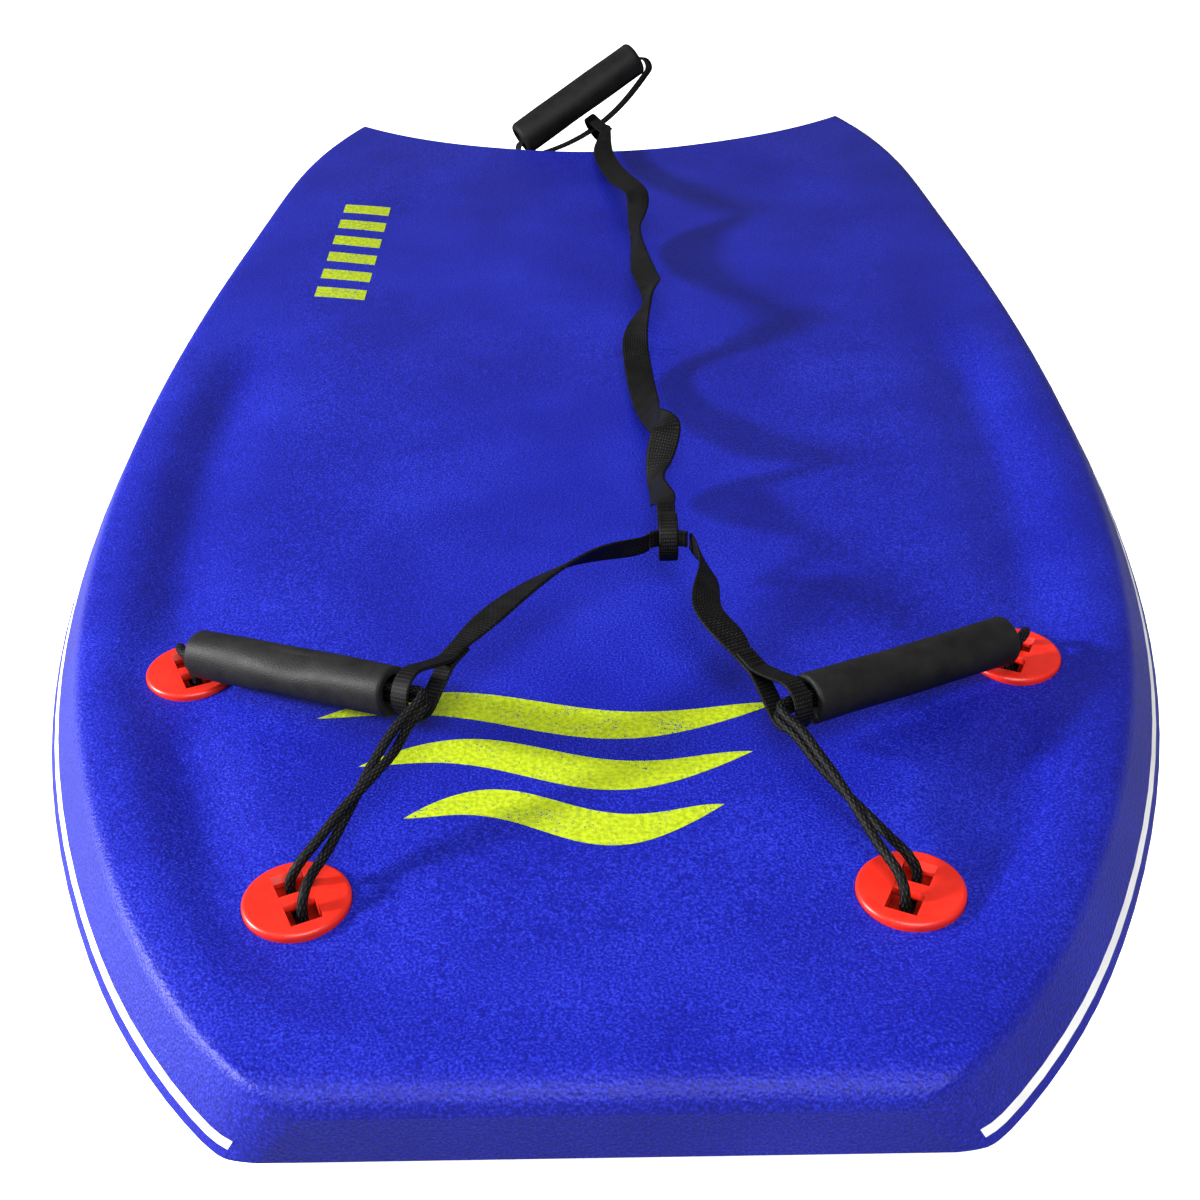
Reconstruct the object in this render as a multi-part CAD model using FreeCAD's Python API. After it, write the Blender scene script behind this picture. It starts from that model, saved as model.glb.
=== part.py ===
import FreeCAD, Part
import math
import os

# Bodyboard with two hand loops, a bridle and a tow line, in millimetres.
# Y runs from the nose to the tail, Z is up, and X is to the right for someone at the nose
# who looks towards the tail. The origin is on the flat underside, 520 mm behind the nose.
# The hand loops are cords laced through plugs near the nose; each carries a foam grip.
# A webbing bridle joins the two cords, and a tow strap runs from its middle over the tail.

V = FreeCAD.Vector
UP = V(0, 0, 1)

# Driving dimensions of the board
LENGTH = 1050.0
NOSE_Y = -520.0
TAIL_Y = NOSE_Y + LENGTH
DECK_Z = 50.0             # deck height over the flat part of the underside
NOSE_LIFT = 13.0          # how far the underside rises at the nose
NOSE_FLAT_Y = -270.0      # forward of this the underside rises
NOSE_DECK_RISE = 2.0
NOSE_FRONT_Z = 21.5       # lower edge of the nose's front, where its bevel starts
NOSE_BEVEL = 0.5          # fall of the bevel per unit of length
TAIL_THIN = 0.5           # the deck drops this much towards the tail
TAIL_THIN_Y = 300.0
CRESCENT_DEPTH = 93.0
CRESCENT_HALF = 213.0
SKIN = 4.0
SLICK = 2.0
FLAT_TRIM = 0.3           # the slick is made this much deeper, then trimmed flat
RAIL_DEPTH = 5.0
GLUE_LINE = 0.15          # gap left between the core and the rails
WALL = 4.0                # nose wall and tail strip
WIDE_Z = 20.0             # height of the widest line of the rail
STRIPE_LOW = 24.0
STRIPE_TOP = 28.0
RIDGE_INSET = 17.0        # deck edge inside the widest line of the rail
LOWER_SLOPE = 0.66        # lower chine, sideways per unit of height
INK = 0.2

# Half widths of the widest line, nose to tail, and the corner rounding at both ends
OUTLINE = (
    (-520, 129), (-478, 167), (-426, 199), (-364, 227), (-291, 251), (-208, 268),
    (-104, 278), (21, 280), (156, 274), (312, 260), (437, 243), (530, 209),
)
NOSE_CORNER = 9.0
TAIL_CORNER = 12.0

# Deck contours
NOSE_EDGE_R = 9.0
CROWN = 1.5
GROOVE_DEPTH = 6.0
GROOVE_INSET = 62.0
GROOVE_OUTER = 13.0
GROOVE_INNER = 19.0
GROOVE_FADE = (0.0, 115.0)       # along the board, towards the tail
GROOVE_NOSE_FADE = (45.0, 115.0)  # across the nose
RIM_RISE = 2.5
RIM_INSET = 33.0
RIM_WIDTH = 14.0
LIP_RISE = 1.5
LIP_INSET = 15.0
LIP_WIDTH = 7.0
DISH_DROP = 1.5
DISH_INSET = 50.0
DISH_WIDTH = 24.0
TAIL_DISH_DROP = 1.8
TAIL_DISH = (10.0, 240.0, 185.0, 212.0)   # centre x, y and the half axes
SEAT_FLAT = 23.0
SEAT_BLEND = 42.0

# Plugs: a top with two openings and a bar between them, and a bottom that holds its stem.
# Right-hand seats; the left-hand ones mirror them.
PLUG_OUTER = (187.0, -267.0, 46.5)
PLUG_FRONT = (116.5, -421.0, 48.5)
PLUG_R = 21.0
PLUG_ABOVE = 2.6
PLUG_BELOW = 2.0
HOLE_SIDE = 9.5           # along the line between the holes
HOLE_WIDE = 12.5
HOLE_FLARE = 2.0
HOLE_OFFSET = 8.0
BARREL_R = 16.0
BARREL_DEPTH = 15.2
CAVITY_R = 14.2
CAVITY_DEPTH = 13.4
STEM_R = 7.0
STEM_DEPTH = 38.0
SOCKET_R = 11.0
SOCKET_TOP = 27.0
SOCKET_BORE = 7.1
PIN_DROP = 0.5            # height of the swing axis over the seat

# Hand loops
CORD_R = 2.1
CORD_GAP = 2.5            # half the spacing of the two strands
CORD_PART = {-1: 2.5, 1: 3.6}      # the same, half way down to the front plug
GRIP_R = 11.0
GRIP_BORE = 7.0
GRIP_OUTER = (179.0, -277.0)
GRIP_INNER = (85.0, -333.0)
GRIP_OUTER_Z = {-1: 64.0, 1: 63.0}
GRIP_INNER_Z = {-1: 82.0, 1: 74.0}
APEX = {-1: V(-72.0, -341.0, 84.5), 1: V(73.0, -342.0, 75.0)}

# Bridle, tow strap and tow handle
WEB = 16.0
WEB_T = 1.8
RING_R = 11.0
RING_WIDTH = 9.0
SLING_BEFORE = 8.0        # the bridle's loops sit this far before the bend of the cord
SLING_PULL = 4.0          # and this far towards the arm
SLING_ASIDE = 2.0
LOOP_STEP = 30            # degrees between the points of a sewn loop
LOOP_SEAM = 0.15          # gap between doubled webbing, half
DOUBLED = (22, 25, 28, 31, 34)     # reach of the doubled webbing from the loop's centre
THREAD_REACH = (24.5, 28.0, 31.5)  # reach of the bars of thread
THREAD = (1.4, 0.5)                # bar of thread, along the webbing and out of it
THREAD_INSET = 2.0
NARROW = 9.0              # webbing gathered where it passes through a loop
EYE = V(32.0, -208.0, 78.0)
TOW_GRIP_R = 14.0
TOW_BORE = 9.2
TOW_LEFT = V(-66.0, 484.0, 44.0)
TOW_RIGHT = V(31.0, 526.0, 98.0)
TOW_BOW = 28.0            # how far the handle webbing bows out from the grip
TOW_INNER = 2.3           # how far off the grip's axis the webbing runs inside it
TOW_TURN = 6.7            # bend of the handle webbing at the grip's mouths
TOW_REACH = 5.5           # how far that bend stands out along the grip
TOW_RING_R = 10.5
EYE_END = {-1: 9.5, 1: 10.5}       # end of each bridle arm beside the eye

# Bridle arms from the sewn loop to the eye
ARM = {
    -1: (V(-50, -291, 88), V(-36, -269, 88), V(-17, -245, 87), V(2, -228, 84)),
    1: (V(56, -297, 82), V(46, -281, 84), V(47, -263, 83), V(50, -246, 81), V(47, -230, 80)),
}

# Creased run of the tow strap: x, y, z and the tilt of its width in degrees
STRAP = (
    (31, -160, 71, 20), (29, -145, 66, 70), (29, -127, 63, 60), (30, -114, 66, 20),
    (34, -104, 77, 0), (36, -98, 81, 10), (33, -90, 78, 60), (30, -80, 72, 80),
    (27, -50, 64, 35), (24, -10, 57, 5), (22, 26, 57, 0), (20, 44, 66, 5),
    (25, 60, 74, 40), (30, 76, 78, 70), (32, 90, 80, 30), (30, 120, 72, 5),
    (26, 172, 62, 30), (24, 222, 61, 80), (26, 246, 64, 30), (28, 262, 74, 0),
    (25, 276, 76, 10), (15, 318, 67, 30), (6, 380, 58, 10), (1, 418, 57, 0),
)

# Prints on the deck
WAVES = 3
WAVE_ENDS = (-124, 77)
WAVE_Y = -308
WAVE_PITCH = 34
WAVE_HEIGHT = 21
WAVE_SWING = 9
BARS = 6
BAR_X = (-190, -156)
BAR_Y = 156
BAR_PITCH = 31
BAR_HEIGHT = 16


def smooth(low, high, value):
    """0 below low, 1 above high, with an even S between."""
    t = min(max((value - low) / (high - low), 0.0), 1.0)
    return t * t * (3 - 2 * t)


def bump(value, width):
    return math.exp(-(value / width) ** 2)


def mix(a, b, t):
    return a * (1 - t) + b * t


def outline_curve():
    curve = Part.BSplineCurve()
    curve.interpolate(Points=[V(half, y, 0) for y, half in OUTLINE], Parameters=[y for y, half in OUTLINE])
    return curve


RAIL = outline_curve()


def corner_drop(distance, radius):
    """How far a rounded corner falls back at this distance from the end."""
    if distance >= radius:
        return 0.0
    back = (radius - max(distance, 0.0)) / radius
    return radius * (1 - math.sqrt(1 - back * back))


def half_width(y):
    """Half width of the board at its widest line."""
    half = RAIL.value(min(max(y, NOSE_Y), TAIL_Y)).x
    half -= corner_drop(y - NOSE_Y, NOSE_CORNER)
    return half - corner_drop(TAIL_Y - y, TAIL_CORNER)


def underside(y):
    lift = max((NOSE_FLAT_Y - y) / (NOSE_FLAT_Y - NOSE_Y), 0.0)
    return NOSE_LIFT * lift * lift


def deck_height(x, y):
    """Height of the top of the deck skin, with all its moulded contours."""
    front = y - NOSE_Y
    side = half_width(y) - abs(x)
    rise = max((NOSE_FLAT_Y - y) / (NOSE_FLAT_Y - NOSE_Y), 0.0)
    fall = max((y - TAIL_THIN_Y) / (TAIL_Y - TAIL_THIN_Y), 0.0)
    z = DECK_Z + NOSE_DECK_RISE * rise * rise - TAIL_THIN * fall * fall
    z -= CROWN * (x / 280.0) ** 2
    blend = 15.0
    inset = -blend * math.log(math.exp(-side / blend) + math.exp(-front / blend))
    strength = (1 - smooth(GROOVE_FADE[0], GROOVE_FADE[1], y)) * smooth(*GROOVE_NOSE_FADE, abs(x))
    width = GROOVE_OUTER if inset < GROOVE_INSET else GROOVE_INNER
    z -= GROOVE_DEPTH * strength * bump(inset - GROOVE_INSET, width)
    z += RIM_RISE * strength * bump(inset - RIM_INSET, RIM_WIDTH)
    z += LIP_RISE * bump(front - LIP_INSET, LIP_WIDTH)
    z -= DISH_DROP * bump(front - DISH_INSET, DISH_WIDTH)
    cx, cy, rx, ry = TAIL_DISH
    z -= TAIL_DISH_DROP * (1 - smooth(0.84, 1.1, math.hypot((x - cx) / rx, (y - cy) / ry)))
    for px, py, seat in (PLUG_OUTER, PLUG_FRONT):
        reach = math.hypot(abs(x) - px, y - py)
        z = mix(seat, z, smooth(SEAT_FLAT, SEAT_BLEND, reach))
    return z - corner_drop(front, NOSE_EDGE_R)


def stations():
    """Places along the board where the section is given, closer together at both ends."""
    places = [NOSE_Y + step for step in (0, 0.7, 2.2, 4.6, 8, 13, 20)]
    count = 43
    first = NOSE_Y + 36.0
    last = TAIL_Y - 34.0
    places += [first + (last - first) * k / (count - 1) for k in range(count)]
    return places + [TAIL_Y - step for step in (20, 12, 7, 3.5, 1.2, 0)]


def knots(count, degree):
    inner = count - degree - 1
    return [degree + 1] + [1] * inner + [degree + 1], list(range(inner + 2))


def curve_edge(points):
    """Edge through control points, straight if there are two of them."""
    degree = 3 if len(points) > 3 else 1
    mults, values = knots(len(points), degree)
    curve = Part.BSplineCurve()
    curve.buildFromPolesMultsKnots(points, mults, values, False, degree)
    return curve.toShape()


def skin_face(rows):
    """Face whose rows of control points all run the same way along the piece."""
    across = 3 if len(rows) > 3 else 1
    umults, uvalues = knots(len(rows), across)
    vmults, vvalues = knots(len(rows[0]), 3)
    surface = Part.BSplineSurface()
    surface.buildFromPolesMultsKnots(rows, umults, vmults, uvalues, vvalues, False, False, across, 3)
    return surface.toShape()


def loft(cuts):
    """Closed solid through sections; each section is a closed chain of point lists."""
    faces = []
    for part in range(len(cuts[0])):
        rows = [[cut[part][k] for cut in cuts] for k in range(len(cuts[0][part]))]
        faces.append(skin_face(rows))
    for cut in (cuts[0], cuts[-1]):
        faces.append(Part.Face(Part.Wire([curve_edge(points) for points in cut])))
    shell = Part.makeShell(faces)
    shell.sewShape()
    solid = Part.makeSolid(shell)
    if solid.Volume < 0:
        solid.reverse()
    return solid


def deck_line(y, half, drop):
    """Control points of the deck from the left edge to the right one at this station."""
    insets = (0, 5, 12, 20, 28, 36, 44, 52, 60, 68, 77, 88, 102)
    inner = 5
    scale = min(1.0, half / 150.0)
    right = [half - inset * scale for inset in insets]
    right += [right[-1] * (1 - (k + 1) / (inner + 1)) for k in range(inner)]
    xs = [-x for x in right] + [0.0] + right[::-1]
    return [V(x, y, deck_height(x, y) - drop) for x in xs]


def rail_points(y):
    """Named corners of the right rail at this station, as (x, z)."""
    half = half_width(y)
    base = underside(y)
    ridge = half - RIDGE_INSET
    ridge_z = deck_height(ridge, y)
    slope = RIDGE_INSET / (ridge_z - WIDE_Z)

    def chine(z, depth=0.0):
        return (half - depth - slope * (z - WIDE_Z), z)

    def lower(z, depth=0.0):
        return (half - depth - LOWER_SLOPE * (WIDE_Z - z), z)

    return {
        "ridge": (ridge, ridge_z),
        "shoulder": chine(ridge_z - 4.0),
        "inner_ridge": chine(ridge_z - SKIN, RAIL_DEPTH),
        "top": chine(STRIPE_TOP),
        "inner_top": chine(STRIPE_TOP, RAIL_DEPTH),
        "low": chine(STRIPE_LOW),
        "inner_low": chine(STRIPE_LOW, RAIL_DEPTH),
        "wide": (half, WIDE_Z),
        "inner_wide": (half - RAIL_DEPTH, WIDE_Z),
        "core_wide": (half - RAIL_DEPTH - GLUE_LINE, WIDE_Z),
        "foot": lower(base + SLICK),
        "inner_foot": lower(base + SLICK, RAIL_DEPTH),
        "core_foot": lower(base + SLICK, RAIL_DEPTH + GLUE_LINE),
        "edge": lower(base),
        "keel": lower(base - FLAT_TRIM),
    }


def outer_deck(y):
    """Deck line that rolls over its edge and ends a little way down each chine."""
    at = rail_points(y)
    line = deck_line(y, at["ridge"][0], 0.0)
    x, z = at["shoulder"]
    return [V(-x, y, z)] + line + [V(x, y, z)]


def inner_deck(y):
    return deck_line(y, rail_points(y)["inner_ridge"][0], SKIN)


def place(y, name, side):
    x, z = rail_points(y)[name]
    return V(side * x, y, z)


def chain(y, names):
    """Straight runs between named corners; a minus sign in front means the left rail."""
    spots = [place(y, name.lstrip("-"), -1 if name[0] == "-" else 1) for name in names]
    return [[a, b] for a, b in zip(spots, spots[1:])]


def whole_section(y):
    rail = ("shoulder", "wide", "edge", "-edge", "-wide", "-shoulder")
    return [outer_deck(y)] + chain(y, rail)


def core_section(y):
    deck = inner_deck(y)
    under = chain(y, ("inner_ridge", "core_wide", "core_foot", "-core_foot", "-core_wide",
                      "-inner_ridge"))
    under[0][0] = deck[-1]
    under[-1][1] = deck[0]
    return [deck] + under


def skin_section(y):
    deck = inner_deck(y)
    right = chain(y, ("shoulder", "top", "inner_top", "inner_ridge"))
    left = chain(y, ("-inner_ridge", "-inner_top", "-top", "-shoulder"))
    right[-1][1] = deck[-1]
    left[0][0] = deck[0]
    return [outer_deck(y)] + right + [deck[::-1]] + left


def slick_section(y):
    return chain(y, ("keel", "foot", "-foot", "-keel", "keel"))


def stripe_section(y, side):
    names = ("top", "low", "inner_low", "inner_top", "top")
    return chain(y, [("-" if side < 0 else "") + name for name in names])


def lower_rail_section(y, side):
    names = ("low", "wide", "foot", "inner_foot", "inner_wide", "inner_low", "low")
    return chain(y, [("-" if side < 0 else "") + name for name in names])


def ink_section(y):
    line = deck_line(y, half_width(y) - RIDGE_INSET, 0.0)
    raised = [point + UP * INK for point in line]
    return [line, [line[-1], raised[-1]], raised[::-1], [raised[0], line[0]]]


def crescent(extra):
    """Upright cylinder that cuts the hollow of the tail."""
    radius = (CRESCENT_HALF ** 2 + CRESCENT_DEPTH ** 2) / (2 * CRESCENT_DEPTH)
    centre = V(0, TAIL_Y - CRESCENT_DEPTH + radius, -50)
    return Part.makeCylinder(radius + extra, 200, centre)


def trim():
    """What is cut off below the flat underside and under the nose."""
    below = Part.makeBox(800, LENGTH + 40, 20, V(-400, NOSE_Y - 20, -20))
    reach = 30.0
    front = [V(-400, NOSE_Y - reach, NOSE_FRONT_Z + NOSE_BEVEL * reach),
             V(-400, NOSE_Y + reach, NOSE_FRONT_Z - NOSE_BEVEL * reach),
             V(-400, NOSE_Y + reach, -20), V(-400, NOSE_Y - reach, -20)]
    wedge = Part.Face(Part.makePolygon(front + front[:1])).extrude(V(800, 0, 0))
    return below.fuse(wedge)


def board_layer(section):
    """A layer between the nose wall and the tail strip."""
    solid = loft([section(y) for y in stations()])
    box = Part.makeBox(800, 1200, 200, V(-400, NOSE_Y + WALL, -50))
    return solid.common(box).cut([crescent(WALL), trim()])


def plug_spots():
    for side, word in ((-1, "left"), (1, "right")):
        outer = V(side * PLUG_OUTER[0], PLUG_OUTER[1], PLUG_OUTER[2])
        front = V(side * PLUG_FRONT[0], PLUG_FRONT[1], PLUG_FRONT[2])
        line = V(front.x - outer.x, front.y - outer.y, 0).normalize()
        yield "outer_" + word, outer, line
        yield "front_" + word, front, line


def plug_bore(seat):
    """Everything taken out of the board for one plug."""
    base = underside(seat.y)
    pocket = Part.makeCylinder(PLUG_R + 0.3, 60, V(seat.x, seat.y, seat.z - PLUG_BELOW))
    barrel = Part.makeCylinder(BARREL_R + 0.2, 60, V(seat.x, seat.y, seat.z - BARREL_DEPTH))
    through = Part.makeCylinder(SOCKET_R + 0.2, 60, V(seat.x, seat.y, -5))
    foot = Part.makeCylinder(PLUG_R + 0.3, 15 + base + 3.3, V(seat.x, seat.y, -15))
    return pocket.fuse([barrel, through, foot])


def turned(shape, seat, line):
    """Moves a shape built at the origin, with its holes along X, to its seat."""
    angle = math.degrees(math.atan2(line.y, line.x))
    shape.rotate(V(0, 0, 0), UP, angle)
    shape.translate(seat)
    return shape


def plug_top(seat, line):
    disc = Part.makeCylinder(PLUG_R, PLUG_ABOVE + PLUG_BELOW, V(0, 0, -PLUG_BELOW))
    rim = [edge for edge in disc.Edges if abs(edge.BoundBox.ZMin - PLUG_ABOVE) < 1e-6]
    disc = disc.makeFillet(1.9, rim)
    barrel = Part.makeCylinder(BARREL_R, BARREL_DEPTH - 1.0, V(0, 0, -BARREL_DEPTH))
    stem = Part.makeCylinder(STEM_R, STEM_DEPTH - BARREL_DEPTH + 1, V(0, 0, -STEM_DEPTH))
    body = disc.fuse([barrel, stem])
    body = body.cut(Part.makeCylinder(CAVITY_R, CAVITY_DEPTH - PLUG_BELOW, V(0, 0, -CAVITY_DEPTH)))
    reach = HOLE_OFFSET + HOLE_SIDE / 2
    side = HOLE_WIDE / 2
    opening = Part.makeBox(2 * reach, HOLE_WIDE, 20, V(-reach, -side, -PLUG_BELOW - 5))
    flare = [V(-reach, -side, 0), V(-reach - HOLE_FLARE, -side, PLUG_ABOVE + 0.1)]
    flare += [V(reach + HOLE_FLARE, -side, PLUG_ABOVE + 0.1), V(reach, -side, 0)]
    flare = Part.Face(Part.makePolygon(flare + flare[:1])).extrude(V(0, HOLE_WIDE, 0))
    bar_r = HOLE_OFFSET - HOLE_SIDE / 2
    bar = Part.makeCylinder(bar_r, HOLE_WIDE + 3, V(0, -side - 1.5, PIN_DROP), V(0, 1, 0))
    bar = bar.common(Part.makeBox(40, 40, 20, V(-20, -20, PLUG_ABOVE - 20.1)))
    return turned(body.cut([opening, flare]).fuse(bar).removeSplitter(), seat, line)


def plug_bottom(seat, line):
    base = underside(seat.y) + 0.3
    disc = Part.makeCylinder(PLUG_R, 3.0, V(0, 0, base))
    rim = [edge for edge in disc.Edges if abs(edge.BoundBox.ZMax - base) < 1e-6]
    disc = disc.makeFillet(1.2, rim)
    socket = Part.makeCylinder(SOCKET_R, SOCKET_TOP - base, V(0, 0, base))
    body = disc.fuse(socket)
    body = body.cut(Part.makeCylinder(SOCKET_BORE, 60, V(0, 0, base + 2.0)))
    body = body.cut(Part.makeBox(17, 2.6, 1.4, V(-8.5, -1.3, base - 0.1)))
    return turned(body.removeSplitter(), V(seat.x, seat.y, 0), line)


def unit(vector):
    return V(vector).normalize()


def grip_ends(side):
    outer = V(side * GRIP_OUTER[0], GRIP_OUTER[1], GRIP_OUTER_Z[side])
    inner = V(side * GRIP_INNER[0], GRIP_INNER[1], GRIP_INNER_Z[side])
    return outer, inner


def tube(start, end, outer_r, inner_r, rim_r):
    axis = end - start
    body = Part.makeCylinder(outer_r, axis.Length, start, axis)
    rims = [edge for edge in body.Edges if edge.Curve.TypeId == "Part::GeomCircle"]
    body = body.makeFillet(rim_r, rims)
    return body.cut(Part.makeCylinder(inner_r, axis.Length + 4, start - unit(axis) * 2, axis))


def cord_pair(side):
    """Middle line of the doubled cord, the way its strands lie apart, and half their spacing."""
    outer = V(side * PLUG_OUTER[0], PLUG_OUTER[1], PLUG_OUTER[2])
    front = V(side * PLUG_FRONT[0], PLUG_FRONT[1], PLUG_FRONT[2])
    line = unit(V(front.x - outer.x, front.y - outer.y, 0))
    near, far = grip_ends(side)
    run = unit(far - near)
    apex = APEX[side]
    leg = unit(front + UP * 12 - apex)
    turn = unit(run.cross(leg))
    turn = turn * (1 if turn.z > 0 else -1)
    flat = unit(run.cross(UP) * side)
    pair = [
        (outer + UP * -2.5, line, HOLE_OFFSET),
        (outer + UP * 3.0, line, HOLE_OFFSET),
        (outer + UP * 9.0 + run * -3.0, line, 5.5),
        (near + run * -5.0 + UP * -1.5, mix(line, flat, 0.5), 3.2),
        (near + run * 2.0, flat, CORD_GAP),
        (near + run * 12.0, flat, CORD_GAP),
        (mix(near, far, 0.3), flat * 2 + turn, CORD_GAP),
        (mix(near, far, 0.5), flat + turn, CORD_GAP),
        (mix(near, far, 0.7), flat + turn * 2, CORD_GAP),
        (far - run * 8.0, turn, CORD_GAP),
        (far + run * 4.0, turn, CORD_GAP),
        (apex, turn, CORD_GAP),
        (apex + leg * 12, turn, CORD_GAP),
        (mix(apex, front + UP * 12, 0.45), turn + line, CORD_PART[side]),
        (front + UP * 10 - leg * 16, line, CORD_PART[side] + 1.0),
        (front + UP * 8 - leg * 5, line, 6.0),
        (front + UP * 3.0, line, HOLE_OFFSET),
        (front + UP * -2.5, line, HOLE_OFFSET),
    ]
    return [(centre, unit(apart), gap) for centre, apart, gap in pair]


def under_bar(seat, line, way):
    """Turn of the cord below the bar of a plug."""
    return [
        seat + line * (way * 5.6) + UP * -7.0,
        seat + UP * -9.2,
        seat + line * (way * -5.6) + UP * -7.0,
    ]


def handle_cord(side):
    """One cord laced through both plugs and twice through the grip; its ends meet in the grip."""
    pair = cord_pair(side)
    first = [centre + apart * gap for centre, apart, gap in pair]
    second = [centre - apart * gap for centre, apart, gap in pair]
    middle = 7
    near, far = grip_ends(side)
    run = unit(far - near)
    begin = [first[middle] - run * 1.5]
    finish = [first[middle] + run * 1.5]
    line = pair[0][1]
    points = begin + first[middle - 1::-1] + under_bar(pair[0][0] + UP * 2.5, line, 1) + second
    points += under_bar(pair[-1][0] + UP * 2.5, line, -1) + first[:middle:-1] + finish
    return rope(points, CORD_R, 4.0)


def rope(points, radius, step):
    """Round cord through the points, with sections a step apart that don't twist."""
    curve = Part.BSplineCurve()
    curve.interpolate(points)
    count = int(curve.length() / step)
    centres = curve.discretize(count)
    heading = unit(centres[1] - centres[0])
    normal = unit(heading.cross(V(0.3, 0.2, 1)))
    bend = 0.5523 * radius
    cuts = []
    for k, centre in enumerate(centres):
        heading = unit(centres[min(k + 1, count - 1)] - centres[max(k - 1, 0)])
        normal = unit(normal - heading * normal.dot(heading))
        side = heading.cross(normal)
        section = []
        for a, b in ((normal, side), (side, normal * -1), (normal * -1, side * -1), (side * -1, normal)):
            first = centre + a * radius
            last = centre + b * radius
            section.append([first, first + b * bend, last + a * bend, last])
        cuts.append(section)
    return loft(cuts)


def ribbon(spots):
    """Flat webbing through spots of (centre, width direction, facing direction, width)."""
    cuts = []
    for centre, across, facing, width in spots:
        a = across * (width / 2)
        b = facing * (WEB_T / 2)
        ring = [centre + a + b, centre - a + b, centre - a - b, centre + a - b, centre + a + b]
        cuts.append([[p, q] for p, q in zip(ring, ring[1:])])
    return loft(cuts)


def webbing(path):
    """Webbing along a path of (point, wished width direction, width); it never turns over."""
    spots = []
    points = [point for point, wish, width in path]
    before = path[0][1]
    for k, (point, wish, width) in enumerate(path):
        run = unit(points[min(k + 1, len(points) - 1)] - points[max(k - 1, 0)])
        across = unit(wish - run * wish.dot(run))
        across = across * (1 if across.dot(before) > 0 else -1)
        before = across
        spots.append((point, across, unit(run.cross(across)), width))
    return ribbon(spots)


def sewn_loop(centre, axis, away, radius, width):
    """Path of a loop round an axis whose end lies back on the webbing that leaves it."""
    out = unit(away - axis * away.dot(axis))
    lift = axis.cross(out)
    side = WEB_T / 2 + LOOP_SEAM
    path = [(centre + out * reach - lift * side, axis, width) for reach in DOUBLED[::-1]]
    for degrees in range(315, 30, -LOOP_STEP):
        angle = math.radians(degrees)
        spot = centre + out * (radius * math.cos(angle)) + lift * (radius * math.sin(angle))
        path.append((spot, axis, width))
    path += [(centre + out * reach + lift * side, axis, width) for reach in DOUBLED]
    return path, out, lift


def stitches(centre, out, lift, axis, width):
    """Bars of thread over the doubled webbing, on both faces."""
    bars = []
    along, high = THREAD
    rise = WEB_T + LOOP_SEAM + high / 2
    for reach in THREAD_REACH:
        for way in (-1, 1):
            middle = centre + out * reach + lift * (way * rise)
            bars.append(block(middle, axis * (width - 2 * THREAD_INSET), out * along, lift * high))
    return Part.makeCompound(bars)


def block(middle, a, b, c):
    """Brick with these three edges."""
    corner = middle - a * 0.5 - b * 0.5 - c * 0.5
    face = Part.Face(Part.makePolygon([corner, corner + a, corner + a + b, corner + b, corner]))
    return face.extrude(c)


def bridle_arm(side):
    """Half of the bridle: a sewn loop round the cord and the run up to the tow loop."""
    near, far = grip_ends(side)
    axis = unit(far - near)
    away = ARM[side][0] - APEX[side]
    out = unit(away - axis * away.dot(axis))
    centre = APEX[side] - axis * SLING_BEFORE + out * SLING_PULL
    centre = centre + axis.cross(out) * (side * SLING_ASIDE)
    path, out, lift = sewn_loop(centre, axis, away, RING_R, RING_WIDTH)
    count = len(ARM[side])
    for k, point in enumerate(ARM[side]):
        path.append((point, unit(mix(axis, UP, (k / count) ** 1.5)), WEB - k))
    path.append((EYE + V(side * 12, -9, 0), UP, NARROW + 1))
    path.append((EYE + V(side * EYE_END[side], -4, 0), UP, NARROW))
    threads = stitches(centre, out, lift, axis, RING_WIDTH)
    return webbing(path), threads


def bridle_middle():
    """Middle of the bridle, gathered inside the tow strap's loop."""
    path = [(EYE + V(x, -0.03 * x * x, 0), UP, NARROW) for x in (-7, -3.5, 0, 3.5, 7)]
    return webbing(path)


def tow_frame():
    """Axis of the tow grip, the way its webbing bows out, and the joint with the strap."""
    axis = unit(TOW_RIGHT - TOW_LEFT)
    bow = V(0.42, -0.1, -0.9)
    bow = unit(bow - axis * bow.dot(axis))
    joint = mix(TOW_LEFT, TOW_RIGHT, 0.5) + bow * TOW_BOW
    return axis, bow, joint


def tow_strap():
    """The long webbing: loop round the bridle, creased run, loop round the handle webbing."""
    front, out, lift = sewn_loop(EYE, V(1, 0, 0), V(0, 1, -0.05), RING_R, RING_WIDTH)
    threads = stitches(EYE, out, lift, V(1, 0, 0), RING_WIDTH)
    run = []
    for x, y, z, tilt in STRAP:
        angle = math.radians(tilt)
        run.append((V(x, y, z), V(math.cos(angle), 0, math.sin(angle)), WEB))
    axis, bow, joint = tow_frame()
    back, out, lift = sewn_loop(joint, axis * -1, V(6, 434, 57) - joint, TOW_RING_R, RING_WIDTH)
    rear_threads = stitches(joint, out, lift, axis, RING_WIDTH)
    back = [(point, wish * -1, width) for point, wish, width in back]
    return webbing(front + run + back[::-1]), threads, rear_threads


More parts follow.
